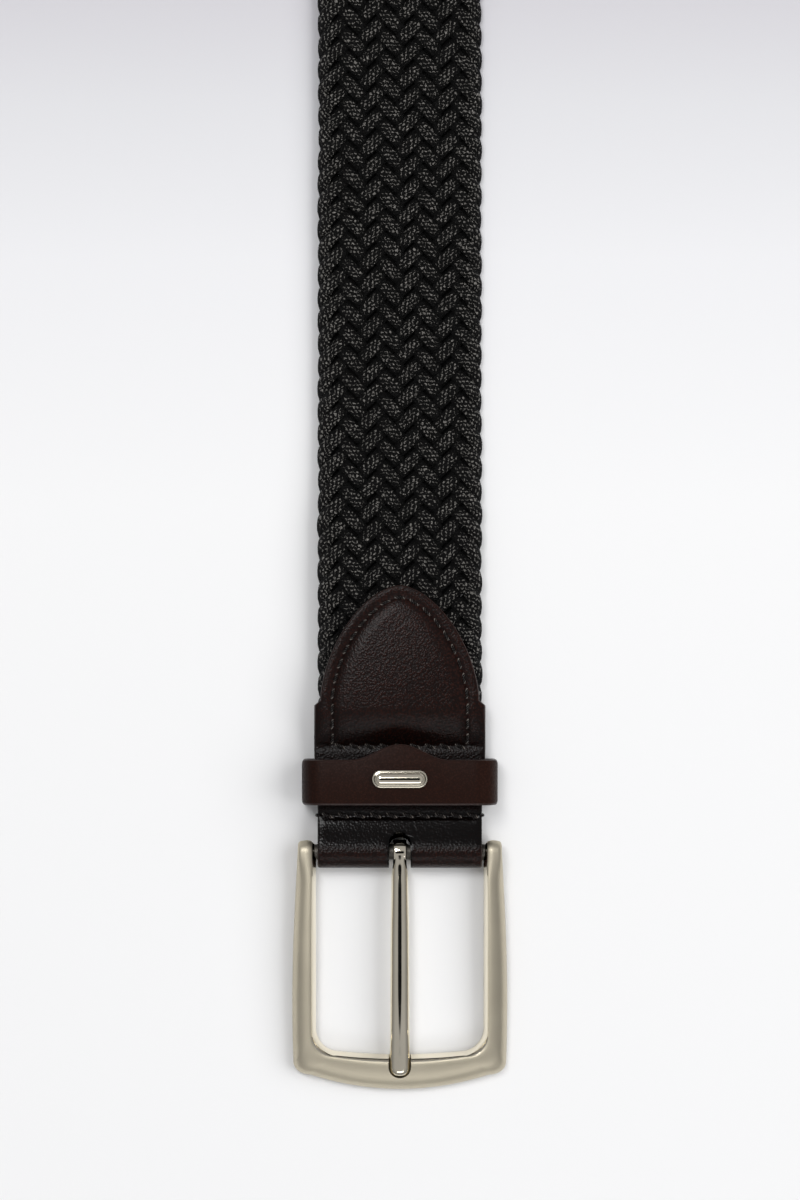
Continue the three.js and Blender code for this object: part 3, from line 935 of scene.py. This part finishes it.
def obround(half, low, high, count, inset=0.0):
    """A slot's outline along Y, as places on X and Y."""
    turn = np.linspace(0, math.pi, count)
    top = np.stack([(half - inset) * np.cos(turn), high - half + (half - inset) * np.sin(turn)], axis=1)
    low_end = np.stack([-(half - inset) * np.cos(turn), low + half - (half - inset) * np.sin(turn)], axis=1)
    return np.concatenate([top, low_end])


def standing(outline, *heights):
    return np.stack([np.column_stack([outline, np.full(len(outline), z)]) for z in heights])


def carve(piece, rings, operation, crease, level=1.0):
    """Cuts the form inside closed rings out of a piece, or joins it on, and marks the sharp edges again."""
    shape = Shape()
    shape.solid(rings, level=level)
    tool = shape.mesh_object("tool", crease=None)
    change = piece.modifiers.new("change", "BOOLEAN")
    change.operation = operation
    change.solver = "EXACT"
    change.object = tool
    depsgraph = bpy.context.evaluated_depsgraph_get()
    mesh = bpy.data.meshes.new_from_object(piece.evaluated_get(depsgraph))
    piece.modifiers.clear()
    piece.data = mesh
    bpy.data.objects.remove(tool)
    work = bmesh.new()
    work.from_mesh(mesh)
    bmesh.ops.dissolve_degenerate(work, edges=work.edges, dist=1e-7)
    shade(work, crease)
    work.to_mesh(mesh)
    work.free()


def shade(work, crease):
    """Smooth faces, with edges sharper than the crease angle kept sharp."""
    for face in work.faces:
        face.smooth = True
    if crease is not None:
        limit = math.radians(crease)
        for edge in work.edges:
            edge.smooth = len(edge.link_faces) != 2 or edge.calc_face_angle(0) < limit


# Stitches
def thread_run(shape, line, lift, slant=0.14, radius=THREAD / 2):
    """Stitches along a line of points. Each comes up out of its hole, lies on the leather and goes down."""
    line = even(np.asarray(line, dtype=float), 0.1)
    reach = reach_of(line)
    count = max(1, int(round(reach[-1] / STITCH)))
    pitch = reach[-1] / count
    lift = np.asarray(lift, dtype=float)
    for number in range(count):
        share = np.linspace(0, 1, len(GLINT))
        at = (number + 0.5 + (share - 0.5) * STITCH_FILL) * pitch
        middle = np.stack([np.interp(at, reach, line[:, k]) for k in range(3)], axis=1)
        side = unit(np.cross(unit(np.gradient(middle, axis=0)), lift))
        rise = radius * (1.7 * np.sin(math.pi * share) ** 0.45 - 1.2)
        middle = middle + lift * rise[:, None] + side * (slant * (share - 0.5) * 2)[:, None]
        thick = radius * (0.72 + 0.28 * np.sin(math.pi * share) ** 0.5)
        angle = circle(THREAD_SIDES)
        rings = (middle[:, None] + side[:, None] * (thick[:, None] * np.cos(angle))[..., None]
                 + lift * (thick[:, None] * THREAD_FLAT * np.sin(angle))[..., None])
        marks = thread_marks(share * STITCH, angle)
        shape.solid(rings, marks=marks, level=GLINT[:, None])


def thread_marks(length, angle):
    return np.stack(np.broadcast_arrays(length[:, None], (angle / (2 * math.pi))[None]), axis=2)


def tab_stitches():
    """The seam round each head of the tab, and two seams across with threads that turn round the edge."""
    contour = seam_line(tab_outline(SECOND_SEAM))
    for side, name in ((1, "tab_stitches_front"), (-1, "tab_stitches_back")):
        shape = Shape()

        def face(points, dip):
            level = layer_height(points[:, 1]) + LEATHER / 2 - dip
            return np.column_stack([points, BAR_HEIGHT + side * level])

        lift = (0, 0, side)
        thread_run(shape, face(contour, RIM_SEAM_DEPTH), lift)
        for y, reach in ((FIRST_SEAM, WAIST_HALF - 0.3), (SECOND_SEAM, HEAD_HALF - SEAM_INSET)):
            across = face(seam_across(y, reach), SEAM_DEPTH)
            thread_run(shape, across, lift, slant=CROSS_SLANT, radius=CROSS_THREAD)
        shape.build(name, "strap", [THREAD_LOOK])
    shape = Shape()
    for sign in (1, -1):
        angle = np.linspace(math.pi / 2, -math.pi / 2, 24)
        level = PINCH_MID + LEATHER / 2
        x = sign * (WAIST_HALF - 0.35 + 0.55 * np.cos(angle) ** 0.6)
        z = BAR_HEIGHT + (level - 0.15) * np.sin(angle)
        wrap = np.stack([x, np.full(len(angle), float(FIRST_SEAM)), z], axis=1)
        tube(shape, wrap, THREAD / 2 * 0.95)
    shape.build("tab_stitch_ends", "strap", [THREAD_LOOK])


def tube(shape, line, radius):
    """A round thread along a line of points that lies in a plane across the belt."""
    side = np.array([0, 1.0, 0])
    other = np.cross(unit(np.gradient(line, axis=0)), side)
    angle = circle(THREAD_SIDES)
    rings = (line[:, None] + side * (radius * np.cos(angle))[None, :, None]
             + other[:, None] * (radius * np.sin(angle))[None, :, None])
    marks = thread_marks(reach_of(line), angle)
    # The threads round the edge get a fixed painted glint of 0.4.
    shape.solid(rings, marks=marks, level=0.4)


# Keeper
def build_keeper():
    """The leather loop: its section is swept round the belt, and its upper rear edge rises in an arch."""
    inner_half, low, high = KEEPER_HALF, LEATHER, KEEPER_ROOF
    parts = []

    def corner(cx, cz, radius, start, count):
        for angle in np.radians(np.linspace(start, start + 90, count)):
            nx, nz = math.cos(angle), math.sin(angle)
            parts.append((cx + radius * nx, cz + radius * nz, nx, nz))

    def run(a, b, normal, count):
        for t in np.linspace(0, 1, count)[1:-1]:
            parts.append((mix(a[0], b[0], t), mix(a[1], b[1], t), *normal))

    shoulder, heel = KEEPER_SHOULDER, KEEPER_HEEL
    corner(inner_half - shoulder, high - shoulder, shoulder, 0, 10)
    run((inner_half - shoulder, high), (-inner_half + shoulder, high), (0, 1), 60)
    corner(-inner_half + shoulder, high - shoulder, shoulder, 90, 10)
    run((-inner_half, high - shoulder), (-inner_half, low + heel), (-1, 0), 8)
    corner(-inner_half + heel, low + heel, heel, 180, 7)
    run((-inner_half + heel, low), (inner_half - heel, low), (0, -1), 30)
    corner(inner_half - heel, low + heel, heel, 270, 7)
    run((inner_half, low + heel), (inner_half, high - shoulder), (1, 0), 8)
    x, z, nx, nz = np.array(parts).T

    upper = ease((z - (low + high) / 2) / 1.5)
    arch = KEEPER_ARCH * np.cos(np.clip(x / KEEPER_ARCH_SPAN, -0.5, 0.5) * math.pi) ** 2 * upper
    front = KEEPER_START
    rear = KEEPER_START + KEEPER_BAND + arch
    crown = KEEPER_CROWN * (1 - ease((np.abs(x) - CROWN_HALF) / CROWN_FALL)) * upper - KEEPER_CROWN * upper
    rings = []
    for row in KEEPER_EDGE:
        depth = row["depth"] * LEATHER
        past = np.clip(np.abs(x + nx * depth) - (KEEPER_HALF + LEATHER - KEEPER_CORNER), 0, KEEPER_CORNER)
        inset = row["inset"] + KEEPER_CORNER - np.sqrt(KEEPER_CORNER ** 2 - past ** 2)
        y = np.where(row["end"] > 0, rear - inset, front + inset)
        rings.append(np.stack([x + nx * depth, y, z + nz * depth + crown], axis=1))
    shape = Shape()
    looks = [1 if row["edge"] else 0 for row in KEEPER_EDGE]
    rings = np.stack(rings, axis=1)
    shape.grid(rings, np.tile(looks, len(parts)), wrap_rows=True, wrap_columns=True)
    shape.build("keeper_band", "strap", [KEEPER_LEATHER, EDGE_LEATHER], ["keeper_loop"])


def build_plate():
    """A plain rounded bar with a flat rim and a raised, domed middle."""
    top = KEEPER_ROOF + LEATHER
    rings = []
    for row in PLATE_PROFILE:
        outline = obround(PLATE_WIDTH / 2, -PLATE_LENGTH / 2, PLATE_LENGTH / 2, 24, row["inset"])
        level = np.full(len(outline), top + row["height"])
        rings.append(np.column_stack([outline[:, 1], PLATE_Y - outline[:, 0], level]))
    shape = Shape()
    shape.solid(np.array(rings))
    shape.build("keeper_bar", "strap", [POLISHED], ["keeper_plate"], crease=35)


# Buckle frame
def frame_edge(half, reach, corner, sag, bulge):
    """Half a plan outline, from the bar down an arm, round a corner and along the end to its middle."""
    corner_x, corner_y = half - corner, -(reach - sag) + corner
    t = np.linspace(0, 1, FRAME_STEPS["arm"])
    arm = np.stack([half + bulge * np.sin(math.pi * t * BOW_SPAN), corner_y * t], axis=1)
    angle = np.linspace(0, math.pi / 2, FRAME_STEPS["corner"])[1:]
    end_y = -reach + sag
    round_x = corner_x + (arm[-1, 0] - corner_x) * np.cos(angle)
    round_y = corner_y + (end_y - corner_y) * np.sin(angle)
    x = corner_x * (1 - np.linspace(0, 1, FRAME_STEPS["end"])[1:])
    end = np.stack([x, -reach + sag * (x / corner_x) ** 2], axis=1)
    return np.concatenate([arm, np.stack([round_x, round_y], axis=1), end])


def frame_heights(y):
    t = np.clip(-y / FRAME_REACH, 0, 1)
    fall = np.sin(math.pi / 2 * t) ** FRAME_BEND
    arch = FRAME_ARCH * np.sin(math.pi * t)
    base = mix(BAR_HEIGHT - ARM_TOP, 0, fall) + arch * (1 - t)
    crest = mix(BAR_HEIGHT + ARM_TOP, END_BAR, fall) + arch
    return base, crest


def barrel(profile, count):
    """Rings round the bar's axis, from pairs of place along it and radius."""
    angle = circle(count)
    rings = []
    for x, radius in profile:
        ring = [np.full(count, x), radius * np.cos(angle), BAR_HEIGHT + radius * np.sin(angle)]
        rings.append(np.stack(ring, axis=1))
    return np.array(rings)


def build_frame():
    """The cast frame: one sweep for arms and end bar, round arm ends, the bar and the prong's notch."""
    inside = frame_edge(WINDOW_HALF, WINDOW_REACH, WINDOW_CORNER, WINDOW_SAG, 0)
    outside = frame_edge(WINDOW_HALF + ARM_WIDTH, FRAME_REACH, FRAME_CORNER, FRAME_SAG, ARM_BULGE)
    across, high, low, at_bar = (column(FRAME_SECTION, key) for key in ("across", "high", "low", "at_bar"))
    x = mix(inside[:, None, 0], outside[:, None, 0], across)
    y = mix(inside[:, None, 1], outside[:, None, 1], across)
    base, crest = frame_heights(y)
    away = ease(-y / ARM_END)
    top = np.stack([x, y, mix(base, crest, mix(at_bar, high, away))], axis=2)
    bottom = np.stack([x, y, mix(base, crest, mix(1 - at_bar, low, away))], axis=2)
    rings = np.concatenate([top, bottom[:, -2:0:-1]], axis=1)
    matt_rows = len(FRAME_SECTION) - POLISHED_ROWS
    upper_looks = [1] * (POLISHED_ROWS - 1) + [0] * matt_rows
    looks = upper_looks + [0] * (len(FRAME_SECTION) - 2) + [1]
    shape = Shape()
    full = np.concatenate([rings, (rings[::-1] * (-1, 1, 1))[1:]])
    shape.grid(full, np.tile(looks, len(full) - 1), wrap_columns=True)
    turn = np.radians(np.linspace(0, 180, 25))
    radius = ARM_TOP * (2 * at_bar - 1)
    for sign in (1, -1):
        dome_x = np.broadcast_to(sign * (WINDOW_HALF + across * ARM_WIDTH), (len(turn), len(across)))
        dome_z = BAR_HEIGHT + np.cos(turn)[:, None] * radius
        dome = np.stack([dome_x, np.sin(turn)[:, None] * radius, dome_z], axis=2)
        shape.grid(dome, np.tile(upper_looks, len(turn) - 1))
    bar_end = WINDOW_HALF + BAR_HOLD
    # The bar takes the third material: steel darkened as painted shade.
    shape.solid(barrel([(-bar_end, BAR_RADIUS), (bar_end, BAR_RADIUS)], 40), 2)
    piece = shape.build("frame_cast", "frame", [SATIN, POLISHED, SHADED_BAR], ["buckle_frame"],
                        crease=FRAME_SHARP, merge=2e-6)
    rows = []
    for row in NOTCH:
        half = PRONG_WIDTH / 2 + NOTCH_GAP + row["flare"]
        outline = obround(half, -PRONG_REACH - NOTCH_GAP - row["flare"], -WINDOW_REACH / 2, 20)
        rows.append(np.column_stack([outline, np.full(len(outline), prong_seat() - GAP + row["height"])]))
    carve(piece, np.array(rows), "DIFFERENCE", FRAME_SHARP)


# Prong
def prong_seat():
    """Height of the prong's underside where it rests in the notch."""
    return BAR_HEIGHT + EYE_RADIUS - SHANK_HEIGHT + min(row["low"] for row in PRONG_ROWS) * SHANK_HEIGHT


def build_prong():
    """The prong: a D-shaped shank that grows out of an eye with a slit behind its top."""
    reach = column(PRONG_ROWS, "reach")
    dense = np.unique(np.concatenate([reach, np.linspace(0, 0.9, 60), np.linspace(0.9, 1, 24)]))
    wide, low, high = (smooth_interp(dense, reach, column(PRONG_ROWS, key))
                       for key in ("wide", "low", "high"))
    half = wide * PRONG_WIDTH / 2
    tip = np.sqrt(np.clip(1 - ((dense - TIP_ROUND) / (1 - TIP_ROUND)).clip(0, 1) ** 2, 0, 1))
    half = np.where(dense > TIP_ROUND, PRONG_WIDTH / 2 * mix(TIP_NARROW, 1, tip ** 0.9), half)
    floor = BAR_HEIGHT + EYE_RADIUS - SHANK_HEIGHT
    bottom = floor + low * SHANK_HEIGHT
    top = floor + high * SHANK_HEIGHT
    belly = mix(bottom, top, BELLY)
    rings = []
    turn = np.radians(np.linspace(0, 180, 25))
    for i, share in enumerate(dense):
        y = -share * PRONG_REACH
        power = 2 / mix(NECK_POWER, 2, ease((share * PRONG_REACH - 1) / 4))
        across = signed_power(np.cos(turn), power)
        crown = np.stack([half[i] * across, np.full(len(turn), y),
                          belly[i] + (top[i] - belly[i]) * np.sin(turn) ** power], axis=1)
        under = np.array([[half[i] * row["across"], y, mix(belly[i], bottom[i], row["sink"])]
                          for row in PRONG_UNDER])
        rings.append(np.concatenate([crown, under]))
    shank = Shape()
    shank.solid(np.array(rings))
    piece = shank.build("prong_polished", "prong", [POLISHED], ["buckle_prong"], crease=50)
    outside = [(row["x"] * NECK_WIDTH / 2, EYE_RADIUS - row["drop"]) for row in EYE_PROFILE]
    bore = [(-PRONG_WIDTH, EYE_HOLE), (PRONG_WIDTH, EYE_HOLE)]
    for profile, operation in ((outside, "UNION"), (bore, "DIFFERENCE")):
        carve(piece, barrel(profile, 64), operation, SHARP)
    tilt = math.radians(SLIT_ANGLE)
    corners = []
    for x in (-NECK_WIDTH, NECK_WIDTH):
        ring = []
        for along, out in ((-1, 0), (1, 0), (1, 1), (-1, 1)):
            a, r = along * SLIT / 2, mix(EYE_HOLE - 0.3, EYE_RADIUS + 0.6, out)
            y = r * math.sin(tilt) + a * math.cos(tilt)
            ring.append((x, y, BAR_HEIGHT + r * math.cos(tilt) - a * math.sin(tilt)))
        corners.append(ring)
    carve(piece, np.array(corners), "DIFFERENCE", SHARP)


def smooth_interp(at, places, values):
    """Values between the rows of a table, along a curve without kinks."""
    slope = np.gradient(values, places)
    i = np.clip(np.searchsorted(places, at, side="right") - 1, 0, len(places) - 2)
    span = places[i + 1] - places[i]
    t = (at - places[i]) / span
    return ((2 * t ** 3 - 3 * t ** 2 + 1) * values[i] + (t ** 3 - 2 * t ** 2 + t) * span * slope[i]
            + (-2 * t ** 3 + 3 * t ** 2) * values[i + 1] + (t ** 3 - t ** 2) * span * slope[i + 1])


# Tip
def build_tip():
    """Two layers of leather over and under the braid's end, sewn together round the rim and at the mouth."""
    line = half_arch(MOUTH, BELT_LENGTH - TIP_POINT, TIP_HALF, TIP_POINT, TIP_POWER)
    plan, columns = sheet_plan(line)
    cut = RIM[:4]
    extra = []
    for inset in column(cut, "inset")[:-1]:
        row = plan[0].copy()
        row[:, 1] = MOUTH + inset
        extra.append(row)
    plan = np.concatenate([np.array(extra), plan[1:]])
    y = plan[..., 1]
    mouth = np.interp(y - MOUTH, column(cut, "inset"), column(cut, "edge"))
    edge = np.minimum(columns["edge"], mouth)
    across = np.exp(-((y - MOUTH - TIP_SEAM) / SEAM_SPREAD) ** 2)
    across = across * np.clip(columns["inset"] / SEAM_INSET, 0, 1)
    sewn = ease((y - MOUTH - 1) / 2)
    puff = columns["puff"] * sewn * TIP_PUFF
    outer = LEATHER / 2 + edge + columns["seam"] * sewn + puff - RIM_SEAM_DEPTH * across
    inner = LEATHER / 2 + edge
    closed = LEATHER + GAP
    full = closed + GAP + STRAP_THICKNESS
    inside = tip_inside(y)
    wing = np.clip((np.abs(plan[..., 0]) - TIP_WING) / (TIP_HALF - TIP_WING), 0, 1)
    droop = TIP_DROOP * wing ** 2 * (inside - closed) / (full - closed)
    middle = inside + LEATHER / 2 - droop
    shape = Shape()
    rings = skin(plan, middle + outer, middle - inner)
    shape.solid(rings, rim_looks(len(rings), plan.shape[1]))
    leathers = [TAB_LEATHER, EDGE_LEATHER]
    shape.build("tip_leather_front", "strap", leathers, ["tip_front"], crease=60)
    shape = Shape()
    flat = np.full(y.shape, LEATHER / 2)
    under = LEATHER / 2 + edge + np.minimum(columns["seam"] * sewn, 0) - RIM_SEAM_DEPTH * across
    rings = skin(plan, flat + inner, flat - under)
    shape.solid(rings, rim_looks(len(rings), plan.shape[1]))
    shape.build("tip_leather_back", "strap", leathers, ["tip_back"], crease=60)

    start = half_arch(MOUTH + TIP_SEAM, BELT_LENGTH - TIP_POINT, TIP_HALF, TIP_POINT, TIP_POWER)
    shape = Shape()
    for run in (seam_line(start), seam_across(MOUTH + TIP_SEAM, TIP_HALF - SEAM_INSET)):
        front = np.column_stack([run, tip_inside(run[:, 1]) + LEATHER - RIM_SEAM_DEPTH])
        thread_run(shape, front, (0, 0, 1))
        back = np.column_stack([run, np.full(len(run), RIM_SEAM_DEPTH + 0.04)])
        thread_run(shape, back, (0, 0, -1), radius=THREAD * 0.3)
    shape.build("tip_stitches", "strap", [THREAD_LOOK])


# Camera, floor and light
def build_camera():
    camera = bpy.data.cameras.new("camera")
    camera.sensor_fit = "VERTICAL"
    camera.sensor_height = 36
    height = PHOTO_SIZE[1] * SCALE * MM
    camera.lens = camera.sensor_height * (CAMERA_HEIGHT - BAR_HEIGHT * MM) / height
    piece = add_object("camera", camera)
    x = (PHOTO_SIZE[0] / 2 - BAR_PIXEL[0]) * SCALE * MM
    y = BAR_Y + (BAR_PIXEL[1] - PHOTO_SIZE[1] / 2) * SCALE * MM
    piece.location = (x, y, CAMERA_HEIGHT)
    bpy.context.scene.camera = piece


def area_light(name, location, target, size, power, mirrored):
    light = bpy.data.lights.new(name, "AREA")
    light.shape = "RECTANGLE"
    light.size, light.size_y = size
    light.energy = power
    piece = add_object(name, light)
    piece.location = location
    direction = Vector(target) - Vector(location)
    piece.rotation_euler = direction.to_track_quat("-Z", "Y").to_euler()
    piece.visible_glossy = mirrored


def build_light():
    """A soft box on the right casts the shadow. Two more give the leather and the braid their sheen."""
    middle = (0, BAR_Y + 0.05, 0)
    for lamp in LAMPS:
        tall, turn = math.radians(lamp["height"]), math.radians(lamp["azimuth"])
        away = Vector((math.cos(tall) * math.cos(turn), math.cos(tall) * math.sin(turn), math.sin(tall)))
        location = Vector(middle) + away * lamp["distance"]
        area_light(lamp["name"], location, middle, lamp["size"], lamp["power"], lamp["mirrored"])


def build_world():
    """The tent round the object: dark above, round the camera, brighter beside it, and dim near the floor."""
    world = bpy.data.worlds.new("studio")
    world.use_nodes = True
    sky = Nodes(world.node_tree)
    x, y, z = sky.parts(sky.coordinates("Generated"))
    wide = sky.math("POWER", sky.math("DIVIDE", x, TENT["hole_x"]), 2)
    long = sky.math("POWER", sky.math("DIVIDE", y, TENT["hole_y"]), 2)
    ring = sky.times(sky.plus(wide, long), 0.5)
    hole = sky.shades(ring, (0.42, TENT["dark"]), (0.58, 1.0))
    height = sky.shades(z, (0.0, TENT["low"]), (0.3, TENT["low"]), (0.7, 1.0))
    side = sky.shades(sky.scaled(x, 0.5, 0.5), (0.15, TENT["left"]), (0.75, 1.0))
    level = sky.times(sky.times(hole, height),
                     sky.times(side, TENT["bright"]))
    background = sky.nodes["Background"]
    background.inputs[0].default_value = (0.98, 0.98, 1.0, 1)
    sky.feed(background.inputs[1], level)
    bpy.context.scene.world = world


def build_floor():
    """Pale paper with painted shade, slightly darker towards the far end, as in the photograph."""
    look = Look("floor_paper")
    place_y = look.parts(look.coordinates())[1]
    far = look.math("DIVIDE", look.math("SUBTRACT", place_y, BAR_Y), FLOOR_FADE)
    colour = look.ramp(far, *[(row["at"], row["colour"]) for row in FLOOR])
    material = look.finish(Base_Color=colour, Roughness=0.9, Specular_IOR_Level=0.2)
    mesh = bpy.data.meshes.new("floor")
    corners = [(x * FLOOR_HALF, y * FLOOR_HALF, 0) for x, y in ((-1, -1), (1, -1), (1, 1), (-1, 1))]
    mesh.from_pydata(corners, [], [(0, 1, 2, 3)])
    mesh.materials.append(material)
    floor = add_object("floor", mesh)


bpy.context.scene.view_settings.view_transform = "Standard"
build_camera()
build_light()
build_world()
build_floor()
build_braid()
build_tab()
tab_stitches()
build_keeper()
build_plate()
build_frame()
build_prong()
build_tip()
